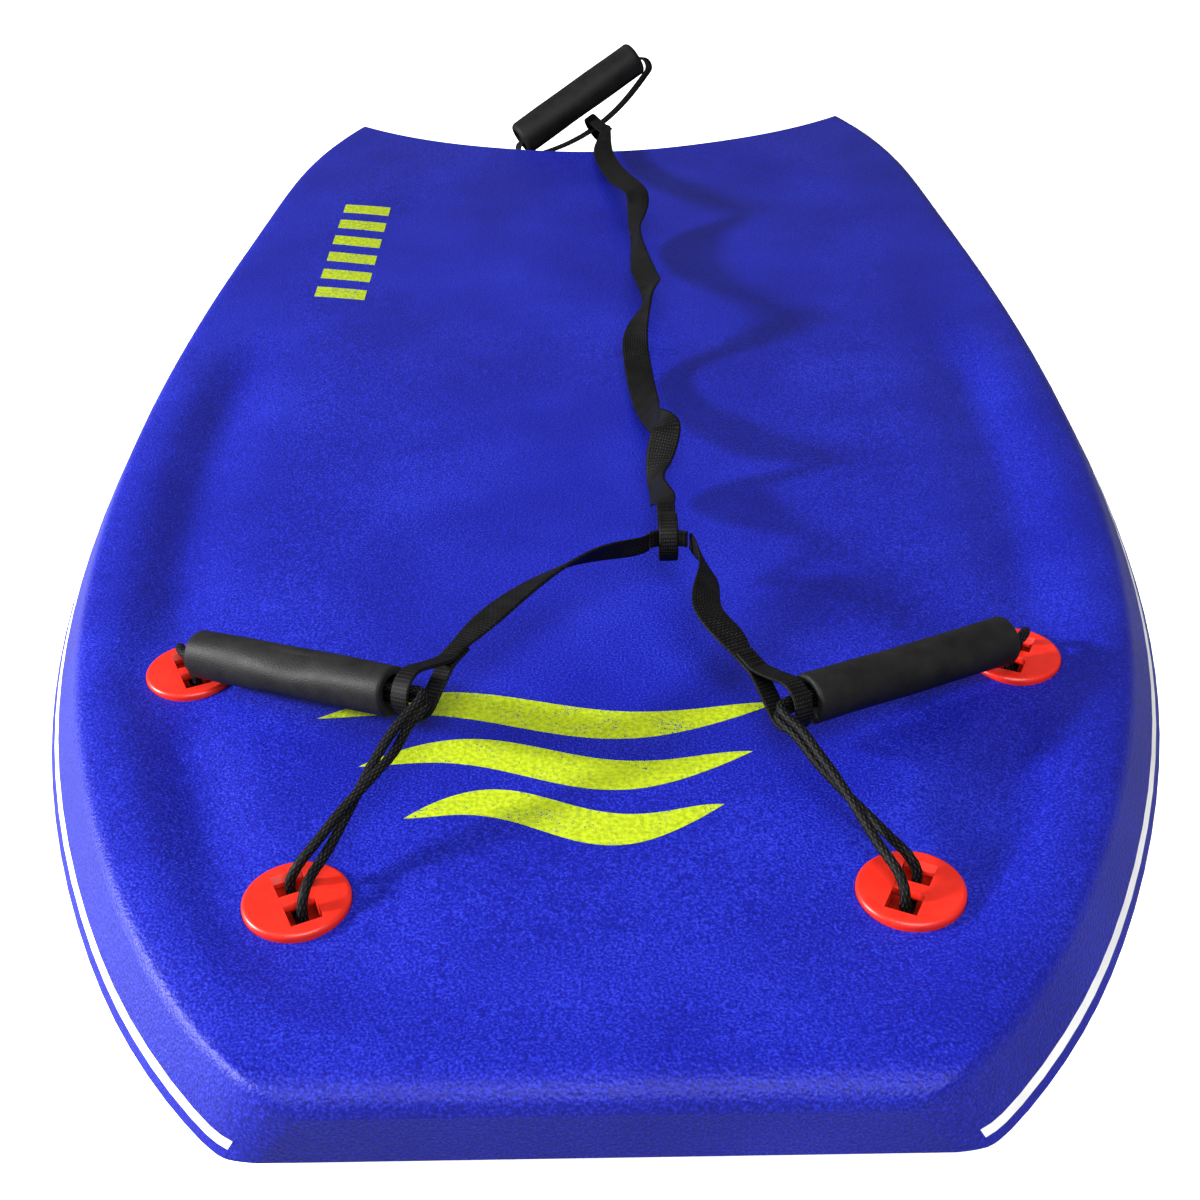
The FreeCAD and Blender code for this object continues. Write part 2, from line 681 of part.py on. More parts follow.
def tow_handle_webbing():
    """Closed loop through the tow grip; its ends meet end to end inside the grip."""
    axis, bow, joint = tow_frame()
    across = unit(axis.cross(bow))
    middle = mix(TOW_LEFT, TOW_RIGHT, 0.5) + bow * TOW_INNER
    half = (TOW_RIGHT - TOW_LEFT).Length / 2
    turn = TOW_TURN
    points = [middle + axis * (k * half / 4 + 0.8) for k in range(4)]
    for degrees in range(0, 181, 30):
        angle = math.radians(degrees)
        spot = middle + axis * (half + 1.0 + TOW_REACH * math.sin(angle))
        points.append(spot + bow * (turn - turn * math.cos(angle)))
    arch = 2 * turn
    for share in (0.75, 0.5, 0.25, 0.0, -0.25, -0.5, -0.75):
        rise = (TOW_BOW - TOW_INNER - arch) * (1 - share * share)
        points.append(middle + axis * (half * share) + bow * (arch + rise))
    for degrees in range(180, -1, -30):
        angle = math.radians(degrees)
        spot = middle - axis * (half + 1.0 + TOW_REACH * math.sin(angle))
        points.append(spot + bow * (turn - turn * math.cos(angle)))
    points += [middle - axis * (k * half / 4 + 0.8) for k in (3, 2, 1, 0)]
    return webbing([(point, across, WEB) for point in points])


def ink_patch(outline):
    """Thin ink film on the deck inside a closed outline."""
    stamp = Part.Face(outline).extrude(UP * 120)
    return INK_LAYER.common(stamp)


def wave(left, right, y, height, swing):
    """Closed outline of a wavy band that narrows to both ends."""
    count = 12
    upper = []
    lower = []
    for k in range(count + 1):
        share = k / count
        x = mix(left, right, share)
        line = y + swing * math.sin(2.2 * math.pi * share)
        half = height / 2 * math.sin(math.pi * share) ** 0.7
        upper.append(V(x, line + half, 0))
        lower.append(V(x, line - half, 0))
    top = Part.BSplineCurve()
    top.interpolate(upper)
    bottom = Part.BSplineCurve()
    bottom.interpolate(lower[:-1] + [upper[-1]])
    return Part.Wire([top.toShape(), bottom.toShape()])


def front_print():
    """Wavy bands, each shorter than the one before it."""
    left, right = WAVE_ENDS
    bands = []
    for k in range(WAVES):
        band = wave(left + 22 * k, right - 14 * k, WAVE_Y - WAVE_PITCH * k, WAVE_HEIGHT, WAVE_SWING)
        bands.append(ink_patch(band))
    return Part.makeCompound(bands)


def rear_print():
    """Row of slanted bars."""
    bars = []
    left, right = BAR_X
    slant = 7
    for k in range(BARS):
        y = BAR_Y + BAR_PITCH * k
        corners = [V(left, y, 0), V(right, y - slant, 0), V(right, y - slant + BAR_HEIGHT, 0)]
        corners += [V(left, y + BAR_HEIGHT, 0), V(left, y, 0)]
        bars.append(ink_patch(Part.makePolygon(corners)))
    return Part.makeCompound(bars)


def write(name, shape):
    shape.exportStep("parts/" + name + ".step")


os.makedirs("parts", exist_ok=True)

whole = loft([whole_section(y) for y in stations()])
nose_wall = whole.common(Part.makeBox(800, WALL + 10, 200, V(-400, NOSE_Y - 10, -50))).cut(trim())
tail_strip = whole.cut(Part.makeBox(800, LENGTH - 120, 200, V(-400, NOSE_Y - 10, -50)))
tail_strip = tail_strip.common(crescent(WALL)).cut(crescent(0))

bores = [plug_bore(seat) for name, seat, line in plug_spots()]
core = board_layer(core_section).cut(bores)
deck_skin = board_layer(skin_section).fuse(nose_wall).cut(bores)
slick = board_layer(slick_section).cut(bores)
INK_LAYER = loft([ink_section(y) for y in stations()])

write("core", core)
write("deck_skin", deck_skin)
write("slick_bottom", slick)
write("tail_strip", tail_strip)
write("front_print", front_print())
write("rear_print", rear_print())

for name, seat, line in plug_spots():
    write("plug_top_" + name, plug_top(seat, line))
    write("plug_bottom_" + name, plug_bottom(seat, line))

for side, word in ((-1, "left"), (1, "right")):
    write("rail_stripe_" + word, board_layer(lambda y: stripe_section(y, side)))
    write("lower_rail_" + word, board_layer(lambda y: lower_rail_section(y, side)))
    write("handle_cord_" + word, handle_cord(side))
    near, far = grip_ends(side)
    write("handle_grip_" + word, tube(near, far, GRIP_R, GRIP_BORE, 1.2))
    arm, threads = bridle_arm(side)
    write("bridle_webbing_" + word, arm)
    write("bridle_stitching_" + word, threads)

strap, front_threads, rear_threads = tow_strap()
write("bridle_webbing_middle", bridle_middle())
write("tow_strap", strap)
write("tow_front_stitching", front_threads)
write("tow_rear_stitching", rear_threads)
write("tow_handle_webbing", tow_handle_webbing())
write("tow_grip", tube(TOW_LEFT, TOW_RIGHT, TOW_GRIP_R, TOW_BORE, 3.5))
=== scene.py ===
import math

import bpy
import numpy as np
from mathutils import Matrix, Vector


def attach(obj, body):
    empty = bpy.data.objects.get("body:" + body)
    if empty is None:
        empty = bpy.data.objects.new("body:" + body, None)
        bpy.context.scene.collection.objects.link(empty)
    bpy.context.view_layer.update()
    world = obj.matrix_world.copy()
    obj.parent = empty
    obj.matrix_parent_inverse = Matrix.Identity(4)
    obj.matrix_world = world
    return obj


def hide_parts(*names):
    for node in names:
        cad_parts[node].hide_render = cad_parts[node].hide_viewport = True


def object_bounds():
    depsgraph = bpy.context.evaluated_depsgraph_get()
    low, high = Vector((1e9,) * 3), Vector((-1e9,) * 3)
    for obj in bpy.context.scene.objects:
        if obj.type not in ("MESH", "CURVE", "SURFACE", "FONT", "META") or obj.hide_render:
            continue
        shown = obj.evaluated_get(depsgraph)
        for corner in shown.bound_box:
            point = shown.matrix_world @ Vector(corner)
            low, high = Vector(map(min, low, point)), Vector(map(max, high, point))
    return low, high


# Bodyboard looks: braided cords, woven webbing and foam grips built over the CAD frame, with
# procedural materials on every piece. Shapes are worked out in millimetres and put into metres
# when their mesh is made.

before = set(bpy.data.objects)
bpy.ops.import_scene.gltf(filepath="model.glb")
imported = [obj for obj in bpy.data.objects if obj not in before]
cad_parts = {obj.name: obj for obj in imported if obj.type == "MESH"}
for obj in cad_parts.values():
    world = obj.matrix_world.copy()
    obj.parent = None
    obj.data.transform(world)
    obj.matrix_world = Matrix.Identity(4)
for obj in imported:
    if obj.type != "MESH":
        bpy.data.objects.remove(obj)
CAD_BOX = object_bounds()
MM = 0.001
UP = np.array((0.0, 0.0, 1.0))


def vec(*values):
    return np.array(values, float)


# Camera, as position, yaw, downward pitch and roll
CAMERA_SPOT = vec(8, -898, 497)
CAMERA_YAW = math.radians(-0.75)
CAMERA_PITCH = math.radians(33.34)
CAMERA_ROLL = math.radians(-1.53)
CAMERA_LENS = 51.0
SENSOR = 36.0

# Light, in metres and watts: a small key from the left, a broad one over the camera, and a dim room
KEY_FROM = vec(-91, -17, 35)
KEY_FAR = 2.2
KEY_SIZE = 0.22
KEY_POWER = 150.0
FRONT_FROM = vec(10, -80, 90)
FRONT_FAR = 1.7
FRONT_SIZE = 0.9
FRONT_POWER = 40.0
ROOM = 0.30
FLOOR_GLOW = 0.62
FLOOR_DIM = 0.35          # how much of its light the floor sends to the object

# Plugs and hand loops
PLUG_OUTER = vec(187.0, -267.0, 46.5)
PLUG_FRONT = vec(116.5, -421.0, 48.5)
HOLE_OFFSET = 8.0
CORD_R = 2.1
CORD_GAP = 2.5
CORD_PART = {-1: 4.0, 1: 6.0}     # half the spacing of the strands down at the front plug
PARTING = {-1: 3, 1: 1}           # how late they part on the way there
BRAID_STEP = 0.5
BRAID_SIDES = 28
BRAID_CARRIERS = 8
BRAID_PITCH = 4.2
BRAID_DEPTH = 0.3
GRIP_R = 11.0
GRIP_BORE = 7.0
GRIP_OUTER = {-1: vec(-179, -277, 64), 1: vec(179, -277, 63)}
GRIP_INNER = {-1: vec(-85, -333, 82), 1: vec(85, -333, 74)}
APEX = {-1: vec(-72, -341, 84.5), 1: vec(73, -342, 75)}
TWISTS = {-1: 1.0, 1: 0.0}        # turns of the strands about each other on the way there
GRIP_LIP = 1.6
GRIP_DENT = {-1: 1.5, 1: 0.4}
INSIDE = 0.15                     # foam is drawn this much inside its CAD tube

# Webbing
WEB = 16.0
WEB_T = 1.8
WEB_STEP = 0.7
WARP_PITCH = 1.5
WEFT_PITCH = 1.7
WEAVE_DEPTH = 0.24
RING_R = 11.0
RING_WIDTH = 9.0
SLING_BEFORE = 8.0
SLING_PULL = 4.0
SLING_ASIDE = 2.0
DOUBLED = (22, 25, 28, 31, 34)
THREAD_REACH = (24.5, 28.0, 31.5)
LOOP_SEAM = 0.15
NARROW = 9.0
EYE = vec(32, -208, 78)
EYE_END = {-1: 9.5, 1: 10.5}
ARM = {
    -1: (vec(-50, -291, 88), vec(-36, -269, 88), vec(-17, -245, 87), vec(2, -228, 84)),
    1: (vec(56, -297, 82), vec(46, -281, 84), vec(47, -263, 83), vec(50, -246, 81), vec(47, -230, 80)),
}
STRAP = (
    (31, -160, 71, 20), (29, -145, 66, 70), (29, -127, 63, 60), (30, -114, 66, 20),
    (34, -104, 77, 0), (36, -98, 81, 10), (33, -90, 78, 60), (30, -80, 72, 80),
    (27, -50, 64, 35), (24, -10, 57, 5), (22, 26, 57, 0), (20, 44, 66, 5),
    (25, 60, 74, 40), (30, 76, 78, 70), (32, 90, 80, 30), (30, 120, 72, 5),
    (26, 172, 62, 30), (24, 222, 61, 80), (26, 246, 64, 30), (28, 262, 74, 0),
    (25, 276, 76, 10), (15, 318, 67, 30), (6, 380, 58, 10), (1, 418, 57, 0),
)

# Tow handle
TOW_GRIP_R = 14.0
TOW_BORE = 9.2
TOW_LIP = 3.7
TOW_DENT = 0.4
TOW_LEFT = vec(-66, 484, 44)
TOW_RIGHT = vec(31, 526, 98)
TOW_BOW = 28.0
TOW_INNER = 2.3
TOW_TURN = 6.7
TOW_REACH = 5.5
TOW_RING_R = 10.5


# ---------------------------------------------------------------- shape helpers


def unit(v):
    return v / np.linalg.norm(v)


def mix(a, b, t):
    return a + (b - a) * t


def clear_of(v, axis):
    """Unit vector of v's part at a right angle to axis."""
    return unit(v - axis * np.dot(v, axis))


def turn_about(v, axis, angle):
    """v turned about a unit axis."""
    c, s = math.cos(angle), math.sin(angle)
    return v * c + np.cross(axis, v) * s + axis * np.dot(axis, v) * (1 - c)


def even(rows, step):
    """Rows of a dense path, resampled a step apart along its first three columns."""
    gaps = np.linalg.norm(np.diff(rows[:, :3], axis=0), axis=1)
    run = np.concatenate([[0.0], np.cumsum(gaps)])
    count = max(4, int(run[-1] / step))
    spots = np.linspace(0, run[-1], count)
    return spots, np.stack([np.interp(spots, run, column) for column in rows.T], 1)


def through(points, step):
    """Smooth path through every point: a cubic spline over the chord lengths."""
    p = np.array(points, float)
    h = np.linalg.norm(np.diff(p, axis=0), axis=1)
    t = np.concatenate([[0.0], np.cumsum(h)])
    n = len(p)
    system = np.eye(n)
    right = np.zeros((n, 3))
    for k in range(1, n - 1):
        system[k, k - 1:k + 2] = h[k - 1], 2 * (h[k - 1] + h[k]), h[k]
        right[k] = 6 * ((p[k + 1] - p[k]) / h[k] - (p[k] - p[k - 1]) / h[k - 1])
    bend = np.linalg.solve(system, right)
    dense = []
    for k in range(n - 1):
        u = np.linspace(0, h[k], 40, endpoint=False)[:, None]
        v = h[k] - u
        line = (p[k] / h[k] - bend[k] * h[k] / 6) * v + (p[k + 1] / h[k] - bend[k + 1] * h[k] / 6) * u
        dense.append(line + bend[k] * v ** 3 / (6 * h[k]) + bend[k + 1] * u ** 3 / (6 * h[k]))
    return even(np.concatenate(dense + [p[-1:]]), step)


def near(poles, step):
    """Cubic B-spline over rows of poles, ends fixed."""
    poles = np.array(poles, float)
    spans = len(poles) - 3
    grid = np.concatenate([[0] * 3, np.arange(spans + 1), [spans] * 3]).astype(float)
    t = np.linspace(0, spans - 1e-9, 60 * spans)
    basis = [((grid[i] <= t) & (t < grid[i + 1])).astype(float) for i in range(len(grid) - 1)]
    for degree in (1, 2, 3):
        raised = []
        for i in range(len(basis) - 1):
            total = np.zeros_like(t)
            if grid[i + degree] > grid[i]:
                total += (t - grid[i]) / (grid[i + degree] - grid[i]) * basis[i]
            if grid[i + degree + 1] > grid[i + 1]:
                total += (grid[i + degree + 1] - t) / (grid[i + degree + 1] - grid[i + 1]) * basis[i + 1]
            raised.append(total)
        basis = raised
    return even(np.stack(basis, 1) @ poles, step)


def weave(a, b):
    """Height, 0 to 1, of two sets of yarns that pass over and under each other."""
    i, j = np.round(a), np.round(b)
    first = np.cos(math.pi * (a - i)) * (0.6 + 0.4 * np.cos(math.pi * (b - i)))
    second = np.cos(math.pi * (b - j)) * (0.6 - 0.4 * np.cos(math.pi * (a - j)))
    return np.maximum(first, second)


def ring_faces(rings, sides, closed=False):
    """Quads between neighbouring rings of points."""
    k = np.arange(rings if closed else rings - 1)[:, None] * sides
    s = np.arange(sides)[None, :]
    after = (s + 1) % sides
    ahead = (k + sides) % (rings * sides)
    quads = np.stack([k + s, k + after, ahead + after, ahead + s], -1)
    return quads.reshape(-1, 4)


def make_mesh(name, points, quads, extra=(), relief=None, spots=None):
    """Smooth-shaded object from points in millimetres."""
    mesh = bpy.data.meshes.new(name)
    faces = [tuple(q) for q in quads.tolist()] + [tuple(f) for f in extra]
    mesh.from_pydata((points * MM).tolist(), [], faces)
    mesh.polygons.foreach_set("use_smooth", [len(f) < 5 for f in faces])
    if relief is not None:
        mesh.attributes.new("relief", "FLOAT", "POINT").data.foreach_set("value", relief.ravel())
    if spots is not None:
        wide = np.concatenate([spots, np.zeros((len(spots), 1))], 1)
        mesh.attributes.new("spot", "FLOAT_VECTOR", "POINT").data.foreach_set("vector", wide.ravel())
    mesh.update()
    made = bpy.data.objects.new(name, mesh)
    bpy.context.scene.collection.objects.link(made)
    return made


def put(made, material, body, node):
    """Dresses a piece, seats it on its body and lets it stand for its CAD node."""
    made.data.materials.append(material)
    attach(made, body)
    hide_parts(node)
    return made


# ---------------------------------------------------------------- braided cord


def cord_mesh(name, points):
    """Braided cord through the points."""
    run, path = through(points, BRAID_STEP)
    heading = np.gradient(path, axis=0)
    heading /= np.linalg.norm(heading, axis=1)[:, None]
    normal = clear_of(vec(0.3, 0.2, 1), heading[0])
    normals = []
    for direction in heading:
        normal = clear_of(normal, direction)
        normals.append(normal)
    normals = np.array(normals)
    sides = np.cross(heading, normals)
    angle = np.arange(BRAID_SIDES) * (2 * math.pi / BRAID_SIDES)
    share = angle[None, :] * (BRAID_CARRIERS / (2 * math.pi))
    climb = run[:, None] / BRAID_PITCH
    height = weave(share + climb, share - climb)
    radius = CORD_R - BRAID_DEPTH * (1 - height)
    points = path[:, None] + normals[:, None] * (np.cos(angle)[None, :, None] * radius[:, :, None])
    points = points + sides[:, None] * (np.sin(angle)[None, :, None] * radius[:, :, None])
    count = len(path)
    caps = [range(BRAID_SIDES)[::-1], range((count - 1) * BRAID_SIDES, count * BRAID_SIDES)]
    spots = np.stack(np.broadcast_arrays(run[:, None], share), -1).reshape(-1, 2)
    quads = ring_faces(count, BRAID_SIDES)
    return make_mesh(name, points.reshape(-1, 3), quads, caps, height, spots)


def cord_pair(side):
    """Middle line of the doubled cord, the way its strands lie apart, and half their spacing."""
    outer = PLUG_OUTER * vec(side, 1, 1)
    front = PLUG_FRONT * vec(side, 1, 1)
    line = unit((front - outer) * vec(1, 1, 0))
    near_end, far_end = GRIP_OUTER[side], GRIP_INNER[side]
    run = unit(far_end - near_end)
    apex = APEX[side]
    leg = unit(front + UP * 12 - apex)
    turn = unit(np.cross(run, leg))
    turn = turn * (1 if turn[2] > 0 else -1)
    flat = unit(np.cross(run, UP) * side)
    pair = [
        (outer - UP * 2.5, line, HOLE_OFFSET),
        (outer + UP * 3.0, line, HOLE_OFFSET),
        (outer + UP * 9.0 - run * 3.0, line, 5.5),
        (near_end - run * 5.0 - UP * 1.5, mix(line, flat, 0.5), 3.2),
        (near_end + run * 2.0, flat, CORD_GAP),
        (near_end + run * 12.0, flat, CORD_GAP),
        (mix(near_end, far_end, 0.3), flat * 2 + turn, CORD_GAP),
        (mix(near_end, far_end, 0.5), flat + turn, CORD_GAP),
        (mix(near_end, far_end, 0.7), flat + turn * 2, CORD_GAP),
        (far_end - run * 8.0, turn, CORD_GAP),
        (far_end + run * 4.0, turn, CORD_GAP),
        (apex, turn, CORD_GAP),
        (apex + leg * 12, turn, CORD_GAP),
    ]
    start = apex + leg * 12
    end = front + UP * 8 - leg * 5
    for share in (0.17, 0.34, 0.51, 0.68, 0.85):
        apart = turn_about(unit(mix(turn, line, share)), leg, 2 * math.pi * TWISTS[side] * share)
        gap = mix(CORD_GAP, CORD_PART[side], share ** PARTING[side])
        pair.append((mix(start, end, share), apart, gap))
    pair += [
        (end, line, 6.0),
        (front + UP * 3.0, line, HOLE_OFFSET),
        (front - UP * 2.5, line, HOLE_OFFSET),
    ]
    return [(centre, unit(apart), gap) for centre, apart, gap in pair]


def under_bar(seat, line, way):
    """Turn of the cord below the bar of a plug."""
    return [seat + line * (way * 5.6) - UP * 7.0, seat - UP * 9.2, seat - line * (way * 5.6) - UP * 7.0]


def hand_cord(side, word):
    """One cord laced through both plugs and twice through the grip."""
    pair = cord_pair(side)
    first = [centre + apart * gap for centre, apart, gap in pair]
    second = [centre - apart * gap for centre, apart, gap in pair]
    middle = 7
    run = unit(GRIP_INNER[side] - GRIP_OUTER[side])
    line = pair[0][1]
    points = [first[middle] - run * 1.5] + first[middle - 1::-1]
    points += under_bar(pair[0][0] + UP * 2.5, line, 1) + second
    points += under_bar(pair[-1][0] + UP * 2.5, line, -1) + first[:middle:-1]
    points += [first[middle] + run * 1.5]
    made = cord_mesh("handle_cord_" + word + ".braid", points)
    return put(made, CORD, "handle_" + word, "handle_cord_" + word)


# ---------------------------------------------------------------- foam grips


def grip_mesh(name, start, end, outer_r, bore_r, lip, dent, face):
    """Foam tube with soft rims, a slightly uneven wall and a dent half way along."""
    axis = unit(end - start)
    length = np.linalg.norm(end - start)
    across = clear_of(face, axis)
    aside = np.cross(axis, across)
    corner = np.linspace(0, math.pi / 2, 7)
    rim = [(lip * (1 - math.cos(c)), outer_r - lip * (1 - math.sin(c))) for c in corner]
    stations = np.linspace(lip, length - lip, int(length / 2))
    outer = rim + [(s, outer_r) for s in stations[1:-1]]
    outer += [(length - back, r) for back, r in rim[::-1]]
    inner = [(length, bore_r + 1.0), (length - 0.4, bore_r + 0.3), (length - 1.2, bore_r)]
    inner += [(length * share, bore_r) for share in (0.8, 0.6, 0.4, 0.2)]
    inner += [(1.2, bore_r), (0.4, bore_r + 0.3), (0.0, bore_r + 1.0)]
    profile = np.array(outer + inner)
    sides = 72
    angle = np.arange(sides) * (2 * math.pi / sides)
    s = profile[:, :1]
    r = profile[:, 1:] + 0.0 * angle[None, :]
    outside = np.clip((r - bore_r - 0.5) / (outer_r - bore_r - 1.0), 0, 1)
    wobble = 0.12 * np.sin(3 * angle[None, :] + s / 17) + 0.10 * np.sin(s / 9 + 2 * angle[None, :])
    hollow = dent * np.exp(-((s - length * 0.55) / 13) ** 2 - ((angle[None, :] - 0.5) / 0.7) ** 2)
    r = r + outside * (wobble - hollow)
    points = start + axis * s[:, :, None] + across * (np.cos(angle)[None, :, None] * r[:, :, None])
    points = points + aside * (np.sin(angle)[None, :, None] * r[:, :, None])
    quads = ring_faces(len(profile), sides, closed=True)[:, ::-1]
    return make_mesh(name, points.reshape(-1, 3), quads)


def hand_grip(side, word):
    made = grip_mesh("handle_grip_" + word + ".foam", GRIP_OUTER[side], GRIP_INNER[side],
                     GRIP_R - INSIDE, GRIP_BORE, GRIP_LIP, GRIP_DENT[side], UP)
    return put(made, GRIP, "grip_" + word, "handle_grip_" + word)


def tow_grip():
    made = grip_mesh("tow_grip.foam", TOW_LEFT, TOW_RIGHT, TOW_GRIP_R - INSIDE, TOW_BORE,
                     TOW_LIP, TOW_DENT, UP)
    return put(made, GRIP, "tow_grip", "tow_grip")


# ---------------------------------------------------------------- woven webbing


def web_mesh(name, path):
    """Woven webbing along a path of (point, wished width direction, width)."""
    points = [point for point, wish, width in path]
    rows = []
    before = path[0][1]
    for k, (point, wish, width) in enumerate(path):
        run = unit(points[min(k + 1, len(points) - 1)] - points[max(k - 1, 0)])
        across = clear_of(wish, run)
        across = across * (1 if np.dot(across, before) > 0 else -1)
        before = across
        rows.append(np.concatenate([point, across * width / 2]))
    run, rows = near(rows, WEB_STEP)
    centre, half = rows[:, :3], rows[:, 3:]
    heading = np.gradient(centre, axis=0)
    heading /= np.linalg.norm(heading, axis=1)[:, None]
    half = half - heading * np.sum(half * heading, 1)[:, None]
    reach = np.linalg.norm(half, axis=1)
    facing = np.cross(heading, half / reach[:, None])
    cells = int(WEB / WEB_STEP)
    line = np.linspace(1, -1, cells + 1)
    x = np.concatenate([line, line[-2:0:-1]])
    sign = np.concatenate([np.ones(cells + 1), -np.ones(cells - 1)])
    warp = x[None, :] * (WEB / 2 / WARP_PITCH)
    weft = run[:, None] / WEFT_PITCH + (sign[None, :] < 0)
    height = weave(warp + 0.5, weft)
    edge = np.sqrt(1 - np.abs(x) ** 12)
    selvedge = 0.12 * np.exp(-((np.abs(x) - 0.9) / 0.06) ** 2)
    thick = WEB_T / 2 - WEAVE_DEPTH / 2 + selvedge + WEAVE_DEPTH * (height - 0.5)
    z = sign * edge * thick
    points = centre[:, None] + half[:, None] * x[None, :, None] + facing[:, None] * z[:, :, None]
    sides = len(x)
    count = len(run)
    caps = [range(sides)[::-1], range((count - 1) * sides, count * sides)]
    spots = np.stack(np.broadcast_arrays(run[:, None], x[None, :] * WEB / 2), -1).reshape(-1, 2)
    return make_mesh(name, points.reshape(-1, 3), ring_faces(count, sides), caps, height, spots)


def sewn_loop(centre, axis, away, radius, width):
    """Path of a loop round an axis whose end lies back on the webbing that leaves it."""
    out = clear_of(away, axis)
    lift = np.cross(axis, out)
    side = WEB_T / 2 + LOOP_SEAM
    path = [(centre + out * reach - lift * side, axis, width) for reach in DOUBLED[::-1]]
    for degrees in range(315, 30, -30):
        angle = math.radians(degrees)
        spot = centre + out * (radius * math.cos(angle)) + lift * (radius * math.sin(angle))
        path.append((spot, axis, width))
    path += [(centre + out * reach + lift * side, axis, width) for reach in DOUBLED]
    return path, out, lift


def thread_mesh(name, centre, out, lift, axis, width):
    """Rows of short stitches on both faces of doubled webbing."""
    sides = 8
    angle = np.arange(sides) * (2 * math.pi / sides)
    profile = np.array([(-1.0, 0.15), (-0.8, 0.75), (-0.35, 1.0), (0.35, 1.0), (0.8, 0.75), (1.0, 0.15)])
    along = width / 2 - 1.6
    points = []
    quads = []
    for reach in THREAD_REACH:
        for way in (-1, 1):
            for k in range(4):
                middle = centre + out * reach + lift * (way * (WEB_T + 0.3))
                middle = middle + axis * (along * (k - 1.5) / 2)
                lean = unit(axis + out * (0.35 if k % 2 else -0.35))
                flat = np.cross(lean, lift)
                for share, size in profile:
                    ring = middle + lean * (share * along * 0.24)
                    ring = ring + lift[None] * (np.cos(angle) * 0.3 * size)[:, None]
                    points.append(ring + flat[None] * (np.sin(angle) * 0.42 * size)[:, None])
                first = (len(points) - len(profile)) * sides
                quads.append(ring_faces(len(profile), sides) + first)
    points = np.concatenate(points)
    return make_mesh(name, points, np.concatenate(quads))


def bridle_arm(side, word):
    """Half of the bridle: a sewn loop round the cord and the run up to the tow loop."""
    axis = unit(GRIP_INNER[side] - GRIP_OUTER[side])
    away = ARM[side][0] - APEX[side]
    out = clear_of(away, axis)
    centre = APEX[side] - axis * SLING_BEFORE + out * SLING_PULL
    centre = centre + np.cross(axis, out) * (side * SLING_ASIDE)
    path, out, lift = sewn_loop(centre, axis, away, RING_R, RING_WIDTH)
    count = len(ARM[side])
    for k, point in enumerate(ARM[side]):
        path.append((point, unit(mix(axis, UP, (k / count) ** 1.5)), WEB - k))
    path.append((EYE + vec(side * 12, -9, 0), UP, NARROW + 1))
    path.append((EYE + vec(side * EYE_END[side], -4, 0), UP, NARROW))
    made = web_mesh("bridle_webbing_" + word + ".woven", path)
    put(made, WEBBING, "bridle_" + word, "bridle_webbing_" + word)
    made = thread_mesh("bridle_stitching_" + word + ".thread", centre, out, lift, axis, RING_WIDTH)
    put(made, THREAD, "bridle_" + word, "bridle_stitching_" + word)


def bridle_middle():
    """The gathered middle; it reaches a little nearer to both arms than its CAD piece does."""
    path = [(EYE + vec(x, -0.03 * x * x, 0), UP, NARROW) for x in (-9, -4.5, 0, 4.5, 9)]
    made = web_mesh("bridle_webbing_middle.woven", path)
    put(made, WEBBING, "bridle_middle", "bridle_webbing_middle")


def tow_frame():
    """Axis of the tow grip, the way its webbing bows out, and the joint with the strap."""
    axis = unit(TOW_RIGHT - TOW_LEFT)
    bow = clear_of(vec(0.42, -0.1, -0.9), axis)
    return axis, bow, mix(TOW_LEFT, TOW_RIGHT, 0.5) + bow * TOW_BOW


def tow_strap():
    """The long webbing with a sewn loop at both ends."""
    front, out, lift = sewn_loop(EYE, vec(1, 0, 0), vec(0, 1, -0.05), RING_R, RING_WIDTH)
    made = thread_mesh("tow_front_stitching.thread", EYE, out, lift, vec(1, 0, 0), RING_WIDTH)
    put(made, THREAD, "tow_line", "tow_front_stitching")
    run = []
    for x, y, z, tilt in STRAP:
        angle = math.radians(tilt)
        run.append((vec(x, y, z), vec(math.cos(angle), 0, math.sin(angle)), WEB))
    axis, bow, joint = tow_frame()
    back, out, lift = sewn_loop(joint, -axis, vec(6, 434, 57) - joint, TOW_RING_R, RING_WIDTH)
    made = thread_mesh("tow_rear_stitching.thread", joint, out, lift, axis, RING_WIDTH)
    put(made, THREAD, "tow_line", "tow_rear_stitching")
    back = [(point, -wish, width) for point, wish, width in back]
    made = web_mesh("tow_strap.woven", front + run + back[::-1])
    put(made, WEBBING, "tow_line", "tow_strap")


def tow_handle_webbing():
    """Closed loop through the tow grip."""
    axis, bow, joint = tow_frame()
    across = unit(np.cross(axis, bow))
    middle = mix(TOW_LEFT, TOW_RIGHT, 0.5) + bow * TOW_INNER
    half = np.linalg.norm(TOW_RIGHT - TOW_LEFT) / 2
    turn = TOW_TURN
    points = [middle + axis * (k * half / 4 + 0.8) for k in range(4)]
    for degrees in range(0, 181, 30):
        angle = math.radians(degrees)
        spot = middle + axis * (half + 1.0 + TOW_REACH * math.sin(angle))
        points.append(spot + bow * (turn - turn * math.cos(angle)))
    arch = 2 * turn
    for share in (0.75, 0.5, 0.25, 0.0, -0.25, -0.5, -0.75):
        rise = (TOW_BOW - TOW_INNER - arch) * (1 - share * share)
        points.append(middle + axis * (half * share) + bow * (arch + rise))
    for degrees in range(180, -1, -30):
        angle = math.radians(degrees)
        spot = middle - axis * (half + 1.0 + TOW_REACH * math.sin(angle))
        points.append(spot + bow * (turn - turn * math.cos(angle)))
    points += [middle - axis * (k * half / 4 + 0.8) for k in (3, 2, 1, 0)]
    made = web_mesh("tow_handle_webbing.woven", [(point, across, WEB) for point in points])
    put(made, WEBBING, "tow_loop", "tow_handle_webbing")


# ---------------------------------------------------------------- materials


